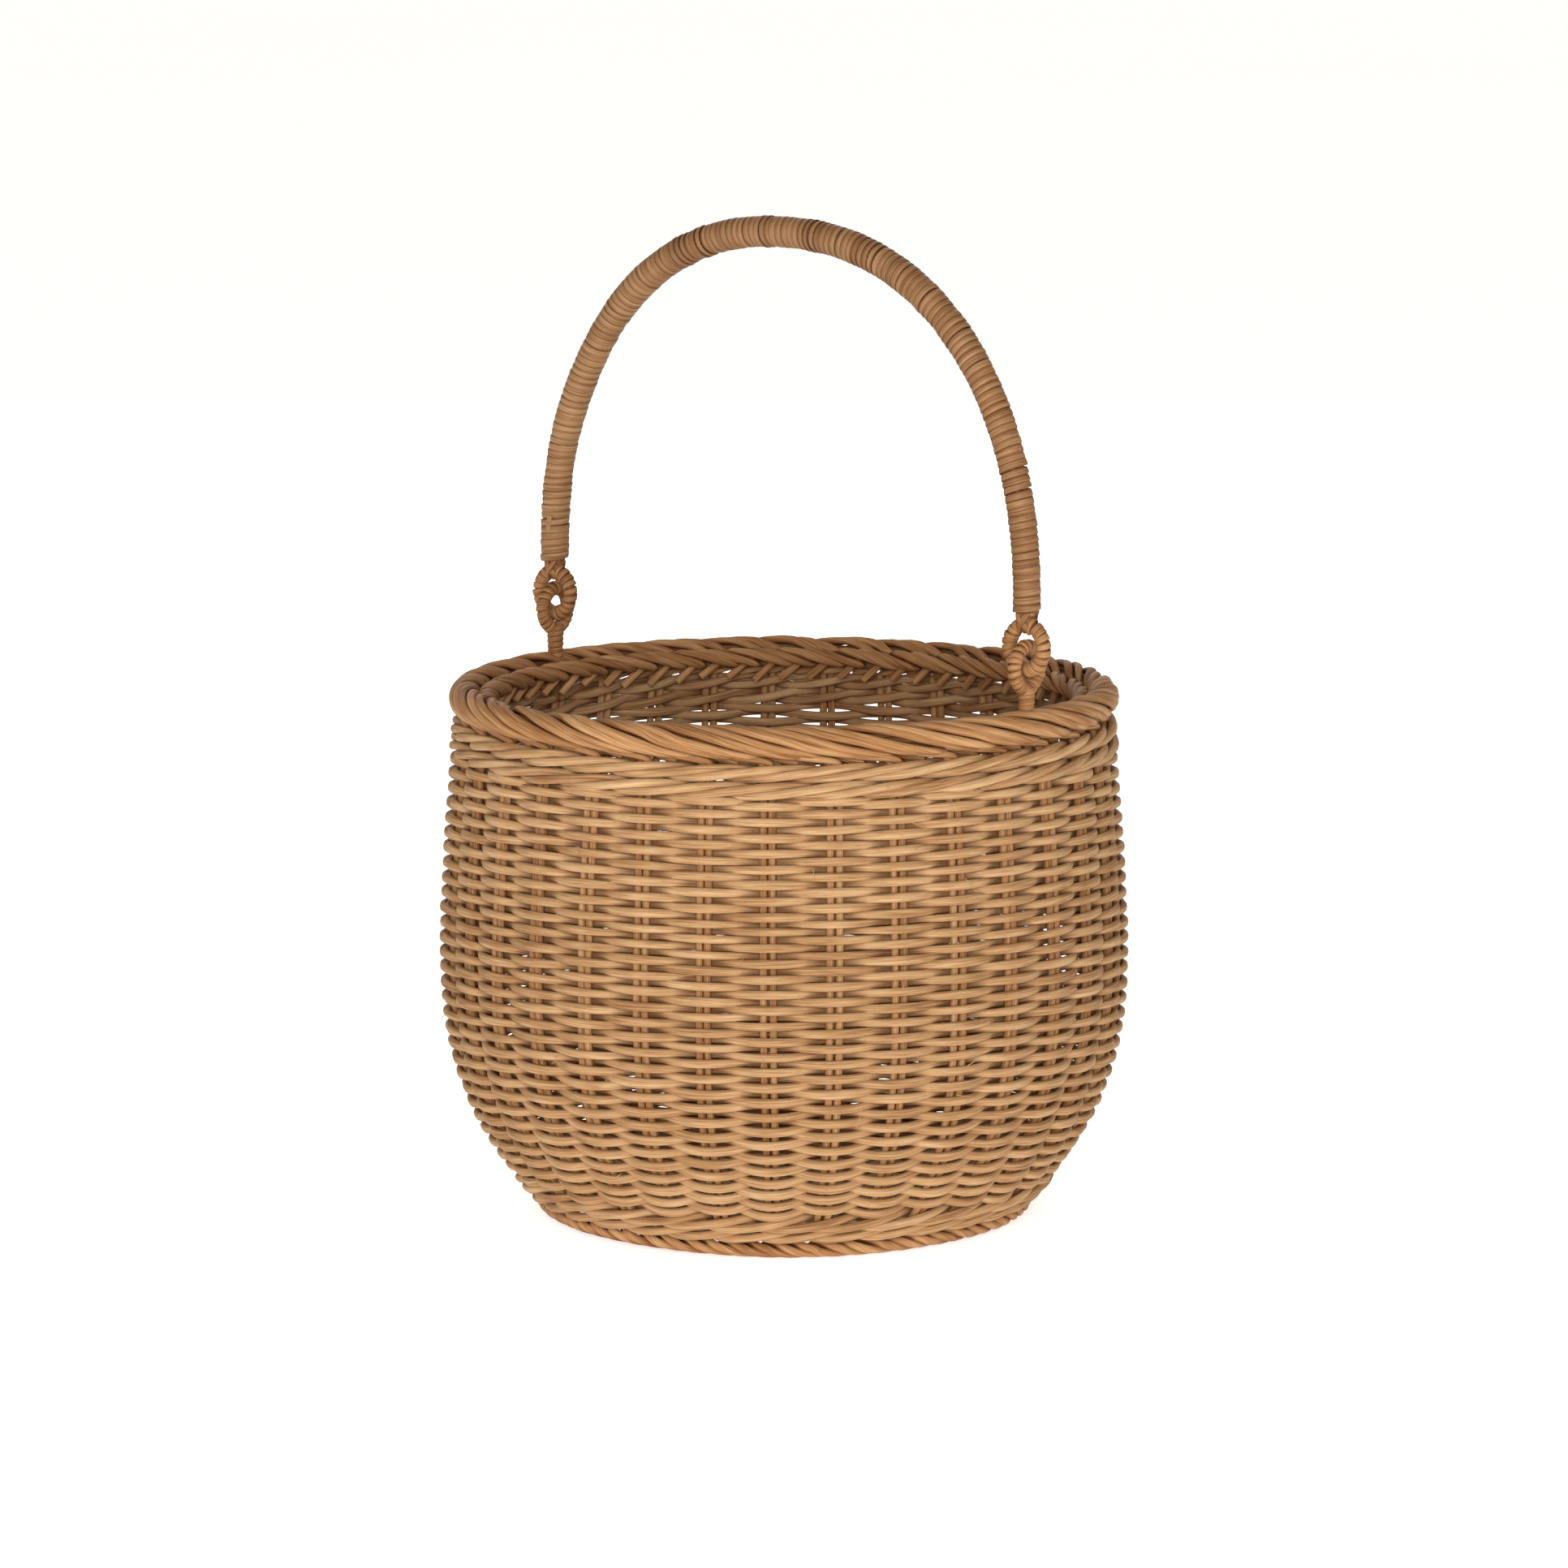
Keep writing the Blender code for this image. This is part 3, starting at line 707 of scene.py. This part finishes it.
def make_base():
    """Sticks crossed in the middle and fanned into spokes, with two strands paired round them."""
    sticks = sorted(node for node in frame["nodes"] if node.startswith("base_stick_"))
    for k, node in enumerate(sticks):
        layer, place = divmod(k, 3)
        turn = layer * TAU / 4
        j = place - 1
        lift = STICK_LIFT * (1 - 2 * layer)
        forward = np.array([math.cos(turn), math.sin(turn), 0.0])
        sideways = np.array([-math.sin(turn), math.cos(turn), 0.0])
        spread = np.linspace(-STICK_REACH, STICK_REACH, 53)
        fan = fade(np.abs(spread), 9, 19)
        spoke = np.radians(30) * j
        straight = forward * spread[:, None] + sideways * STICK_SPACING * j
        fanned = (forward * (spread * math.cos(spoke))[:, None]
                  + sideways * (np.abs(spread) * math.sin(spoke))[:, None])
        path = straight * (1 - fan)[:, None] + fanned * fan[:, None]
        path[:, 2] = BASE_MIDDLE + lift * (1 - fan)
        stick = Strands()
        stick.add(path, UP, 1.5, 1.8, 8)
        stick.make(f"slath_stick_{k + 1}", base_rattan, "basket", "base", [node])

    rounds = sorted(node for node in frame["nodes"] if node.startswith("base_weave_"))
    spokes = 2 * len(sticks)
    samples = 10
    n = int((PAIRING_END - PAIRING_START) / PAIRING_PITCH) * spokes * samples
    passed = np.arange(n) / samples
    radius = PAIRING_START + PAIRING_PITCH * passed / spokes
    weave = [Strands() for node in rounds]
    for strand in (0, 1):
        # first the pairing binds the crossed bundles of three, then it opens out into single spokes
        turned = np.linspace(0, 3.2, 320)
        wave = np.cos(TAU * turned * 2 + np.pi * strand)
        path = ring_path(BINDING_START + 2.5 * turned + drift(320, 40, 0.08), TAU * turned,
                         BASE_MIDDLE + 3.3 * wave * (1.05 - 0.05 * wave * wave))
        weave[0].add(path, UP, 1.3, 1.35, 10, square=0.85)
        wave = np.cos(np.pi * (passed + strand))
        angle = TAU * passed / spokes
        height = BASE_MIDDLE + 2.9 * wave * (1 + drift(n, samples, 0.04))
        path = ring_path(radius + drift(n, samples, 0.12), angle, height)
        cuts = np.linspace(0, n, len(rounds) + 1).astype(int)
        for part, (low, high) in enumerate(zip(cuts, cuts[1:])):
            weave[part].add(path[low:high], UP, 1.32, 1.38, 10, square=0.85)
    for k, (part, node) in enumerate(zip(weave, rounds)):
        # painted shade: the pairing darkens towards the middle of the base's thickness, between the sticks
        part.make(f"base_rounds_{k + 1}", base_rattan, "basket", "base", [node],
                  painted_shade=lambda points: fade(np.abs(points[:, 2] - BASE_MIDDLE), 3.4, 0.6))


# ---------------------------------------------------------------- handle and its eyes

ARCH_FOOT = 222.0           # height where the straight legs start to curve in
ARCH_ROUNDNESS = 2.2        # 2 would be an ellipse
WRAP_RADIUS = 5.35
# The wrap's outer radius at even steps from the right leg's end to the left leg's end.
WRAP_RADII = (4.72, 4.8, 4.95, 5.2, 5.4, 5.42, 5.38, 5.4, 5.4, 5.3, 5.2, 5.12, 5.15)
EYE_CENTRE = 1.6            # the fixed eyes' middles, above the hinge line
EYE_SUNK = {"left": 0.0, "right": 1.3}      # how much lower each fixed eye sits
LOOP_UP = 7.9               # half height of the handle's loops, to the middle of the rope
BINDING_STRIP = 0.7         # thickness of the cane that binds the eyes
X_AXIS = np.array([1.0, 0.0, 0.0])
Y_AXIS = np.array([0.0, 1.0, 0.0])


def arch(count):
    """The handle's centreline from the right leg's end over the top to the left leg's end."""
    rise = HANDLE_TOP - WRAP_RADIUS - ARCH_FOOT
    turn = np.linspace(0, math.pi, count)
    power = 2 / ARCH_ROUNDNESS
    cos = np.cos(turn)
    x = EYE_X * np.sign(cos) * np.abs(cos) ** power
    z = ARCH_FOOT + rise * np.clip(np.sin(turn), 0, 1) ** power
    x = np.concatenate([[EYE_X], x, [-EYE_X]])
    z = np.concatenate([[LEG_END + 0.9], z, [LEG_END + 0.9]])
    x = np.where(x < 0, x * (1 - 0.014 * fade(z, 255, 300)), x)
    return np.stack([x, np.zeros_like(x), z], -1)


def even(path, spacing):
    """The same path with evenly spaced points, and its length."""
    run = np.concatenate([[0], np.cumsum(np.linalg.norm(np.diff(path, axis=0), axis=1))])
    count = max(int(run[-1] / spacing), 4)
    at = np.linspace(0, run[-1], count + 1)
    return np.stack([np.interp(at, run, path[:, k]) for k in range(3)], -1), run[-1]


def wind(strands, path, normal, radius, pitch, width, thickness, wander=0.05, samples=22, parts=4,
         lean=0.12, uneven=0.09):
    """A flat strip wound round a path, each turn at its own slight angle.

    normal is square to the path all along. radius is to the strip's middle, and may be one number or
    one for each of evenly spaced places. The strip is laid in several parts, end over end.
    """
    centre, length = even(path, 0.25)
    turns = length / pitch
    n = int(turns * samples)
    place = np.linspace(0, 1, n)
    run = length * place
    turn = TAU * (turns * place + drift(n, samples, wander))
    at = np.linspace(0, length, len(centre))
    middle = np.stack([np.interp(run, at, centre[:, k]) for k in range(3)], -1)
    tangent = unit(np.gradient(middle, axis=0))
    across = np.broadcast_to(normal, middle.shape)
    other = unit(np.cross(tangent, across))
    out = across * np.cos(turn)[:, None] + other * np.sin(turn)[:, None]
    radius = np.atleast_1d(radius)
    size = np.interp(place, np.linspace(0, 1, len(radius)), radius) + drift(n, samples, uneven)
    strip = middle + out * size[:, None]
    tilted = unit(out + tangent * (lean + drift(n, 2 * samples, 0.07))[:, None])
    wide = width / 2 * (1 + drift(n, samples, 0.05))
    cuts = np.linspace(0, n, parts + 1).astype(int)
    for low, high in zip(cuts, cuts[1:]):
        high = min(high + 3, n)
        strands.add(strip[low:high], tilted[low:high], thickness / 2, wide[low:high], 8, bevel=0.1,
                    square=0.6)


def make_handle():
    """The arch: bent rods wound from end to end with flat cane, whose end is tucked in on the left."""
    path = arch(160)
    wrap = Strands()
    wind(wrap, path, Y_AXIS, np.array(WRAP_RADII) - 0.45, 2.5, 2.72, 0.95, parts=9)
    tuck = np.linspace(0, 1, 8)
    face = unit(np.array([0.2, -1.0, 0.0]))
    points = path[-1] + UP * (10 + 5.5 * tuck)[:, None] + face * (WRAP_RADIUS - 0.25)
    points[:, 0] += 1.2 * tuck
    wrap.add(points, face, 0.35 * (1.1 - tuck), 0.9, 8)
    wrap.make("cane_wrap", cane, "handle", "wrap", ["handle_wrap"])

    core = Strands()
    centre = even(path, 4.0)[0]
    tangent = unit(np.gradient(centre, axis=0))
    other = np.cross(tangent, Y_AXIS)
    for k in range(5):
        turn = TAU * k / 5
        rod = centre + Y_AXIS * 2.4 * math.cos(turn) + other * 2.4 * math.sin(turn)
        core.add(rod, Y_AXIS, 1.5, 1.5, 8)
    core.make("core_rods", shade_dark_core_rattan, "handle", "core", ["handle_core"])


def loop_path(centre, across, half_across, half_up, neck, count=72):
    """An upright loop drawn in towards its neck: below it if neck is -1, above it if 1."""
    turn = np.linspace(0, TAU, count, endpoint=False)
    up = -np.cos(turn) * neck
    pinch = 1 - 0.3 * np.clip(up * neck, 0, 1) ** 2
    return centre + across * (half_across * np.sin(turn) * pinch)[:, None] + UP * (half_up * up)[:, None]


def make_rod(name, node, body, ring, stem, axis, ring_half, stem_half):
    """A rod bent to a loop, with its stem."""
    rod = Strands()
    rod.add(ring, axis, ring_half, ring_half, 10, closed=True)
    rod.add(stem, axis, stem_half, stem_half, 10)
    rod.make(name, shade_dark_core_rattan, body, "eyes", [node])


def bind_ring(binding, ring, axis, radius, pitch, width):
    """Fine cane wound right round a loop."""
    wind(binding, np.vstack([ring, ring[:2]]), axis, radius, pitch, width, BINDING_STRIP, samples=18,
         parts=3, wander=0.08, uneven=0.1, lean=0.07)


def make_eyes():
    """The two fixed eyes on the border, and the handle's loops linked through them."""
    rope = (eye_high[0] - eye_low[0]) / 2
    eye_half = (eye_high[1] - eye_low[1]) / 2 - rope
    eye_up = eye_high[2] - rope - EYE_CENTRE - HINGE_HEIGHT
    loop_half = (loop_high[0] - loop_low[0]) / 2 - rope
    for side, where in ((-1, "left"), (1, "right")):
        pivot = np.array([side * EYE_X, 0.0, HINGE_HEIGHT])

        # the fixed eye: a bound loop across the hinge line, on a bound stem through the border
        centre = pivot + UP * (EYE_CENTRE - EYE_SUNK[where])
        ring = loop_path(centre, Y_AXIS, eye_half, eye_up, -1)
        stem = np.linspace([pivot[0], 0, BORDER_BOTTOM - 6], centre - UP * (eye_up - 0.4), 12)
        make_rod(f"eye_rod_{where}", f"basket_eye_{where}", "basket", ring, stem, X_AXIS, rope - 0.5, 1.9)
        binding = Strands()
        bind_ring(binding, ring, X_AXIS, rope - 0.2, 1.95, 2.1)
        wind(binding, np.linspace(stem[0] + UP * 8, stem[-1] + UP * 1.2, 30), X_AXIS,
             [2.5, 2.5, 2.4, 2.5, 2.9], 2.0, 2.1, BINDING_STRIP, samples=18, parts=1, wander=0.08)
        binding.make(f"eye_binding_{where}", binding_cane, "basket", "eyes")

        # the handle's loop, linked through it, in the plane of the arch
        centre = pivot + UP * LOOP_UP
        ring = loop_path(centre, X_AXIS, loop_half, LOOP_UP, 1)
        stem = np.linspace(centre + UP * (LOOP_UP - 0.6), [pivot[0], 0, ARCH_FOOT + 4], 8)
        make_rod(f"loop_rod_{where}", f"handle_eye_{where}", "handle", ring, stem, Y_AXIS, rope - 0.5, 2.0)
        binding = Strands()
        bind_ring(binding, ring, Y_AXIS, rope - 0.05, 2.2, 2.35)
        wind(binding, stem[:6], Y_AXIS, 2.5, 2.2, 2.3, BINDING_STRIP, samples=18, parts=1)
        for lean in (-1, 1):
            ends = np.array([[lean * 2.6, -1.2, -3.4], [lean * 1.2, -2.6, -1.0], [-lean * 0.8, -3.0, 1.0],
                             [-lean * 1.8, -2.2, 3.0]])
            crossing = even(pivot + UP * (2 * LOOP_UP + 0.2) + ends, 0.6)[0]
            binding.add(crossing, -Y_AXIS, 0.5, 1.5, 8, square=0.7)
            binding.add(crossing * [1, -1, 1], Y_AXIS, 0.5, 1.5, 8, square=0.7)
        binding.make(f"loop_binding_{where}", binding_cane, "handle", "eyes")


# ---------------------------------------------------------------- loose fibres

FIBRES = 90
FIBRE_OFFSET = 3.75         # from the middle of the wall to where a fibre starts


def make_fibres():
    """Fine splinters that stand off the strands."""
    hairs = Strands()
    for _ in range(FIBRES):
        angle = rng.uniform(0, TAU)
        run = rng.uniform(run_at(8), run_at(175))
        reach = np.linspace(0, 1, 7)
        length = rng.uniform(2.5, 7)
        heading = rng.normal(0, 0.7)
        path, normal = wall_path(run + reach * length * math.sin(heading),
                                 angle + reach * length * math.cos(heading) / 115,
                                 FIBRE_OFFSET + 1.2 * np.sin(reach * 2.2) * rng.uniform(0.3, 1))
        hairs.add(path, normal, 0.08 * (1.1 - reach), 0.13 * (1.1 - 0.8 * reach), 5)
    hairs.make("loose_fibres", fibre_rattan, "basket", "weave")


# ---------------------------------------------------------------- the studio

CAMERA_AZIMUTH = math.radians(41.5)
CAMERA_ELEVATION = math.radians(8.92)
CAMERA_DISTANCE = 2.4424            # metres
CAMERA_TARGET = Vector((0, 0, 0.150))
FOCAL_LENGTH = 161.2                # millimetres, on a 36 mm wide sensor
FLOOR_SIZE = 40                     # metres each way
FLOOR_GLOW = 0.68
LIGHT_TARGET = Vector((0, 0, 0.16))


def make_studio():
    """A pale floor with a faint glow, soft light from the front and the back, and the camera."""
    scene = bpy.context.scene
    camera = bpy.data.objects.new("camera", bpy.data.cameras.new("camera"))
    scene.collection.objects.link(camera)
    camera.data.lens = FOCAL_LENGTH
    camera.data.sensor_width = 36
    camera.data.clip_end = 60
    back = Vector((math.sin(CAMERA_AZIMUTH) * math.cos(CAMERA_ELEVATION),
                   -math.cos(CAMERA_AZIMUTH) * math.cos(CAMERA_ELEVATION),
                   math.sin(CAMERA_ELEVATION)))
    camera.location = CAMERA_TARGET + back * CAMERA_DISTANCE
    camera.rotation_euler = back.to_track_quat("Z", "Y").to_euler()
    scene.camera = camera

    floor_mesh = bpy.data.meshes.new("floor")
    corners = [(x * FLOOR_SIZE, y * FLOOR_SIZE, 0) for x, y in ((-1, -1), (1, -1), (1, 1), (-1, 1))]
    floor_mesh.from_pydata(corners, [], [(0, 1, 2, 3)])
    floor = bpy.data.objects.new("floor", floor_mesh)
    floor.location.z = -0.0002
    scene.collection.objects.link(floor)
    paper = Nodes("pale_floor")
    speckle = paper.node("ShaderNodeTexNoise")
    speckle.inputs["Scale"].default_value = 60
    paper.link(paper.ramp(speckle.outputs["Fac"], [(0, (0.93, 0.93, 0.93)), (1, (0.95, 0.95, 0.95))]),
               paper.shader.inputs["Base Color"])
    paper.shader.inputs["Roughness"].default_value = 0.95
    paper.shader.inputs["Emission Color"].default_value = (1, 1, 1, 1)
    paper.shader.inputs["Emission Strength"].default_value = FLOOR_GLOW
    floor_mesh.materials.append(paper.material)

    world = bpy.data.worlds.new("studio")
    world.use_nodes = True
    background = world.node_tree.nodes["Background"]
    background.inputs["Color"].default_value = (1, 0.95, 0.88, 1)
    background.inputs["Strength"].default_value = 0.35
    scene.world = world
    scene.view_settings.view_transform = "Standard"

    right = Vector((math.cos(CAMERA_AZIMUTH), math.sin(CAMERA_AZIMUTH), 0))
    front = Vector((back.x, back.y, 0)).normalized()
    lights = (
        ("key", front * 2.2 - right * 0.1, 0.45, 1.1, 37),
        ("fill", -front * 2.4, 1.0, 1.6, 16),
    )
    for name, place, height, size, power in lights:
        place = LIGHT_TARGET + place + Vector((0, 0, height))
        light = bpy.data.lights.new(name, "AREA")
        light.size = size
        light.energy = power
        lamp = bpy.data.objects.new(name, light)
        lamp.location = place
        lamp.rotation_euler = (place - LIGHT_TARGET).to_track_quat("Z", "Y").to_euler()
        scene.collection.objects.link(lamp)


make_studio()
make_stakes()
make_weave()
make_wale("top_waling", 162.6, 174.2, "top_wale")
make_wale("lower_waling", 5.9, 13.9, "upsett_wale")
make_top_border()
make_foot()
make_base()
make_handle()
make_eyes()
make_fibres()
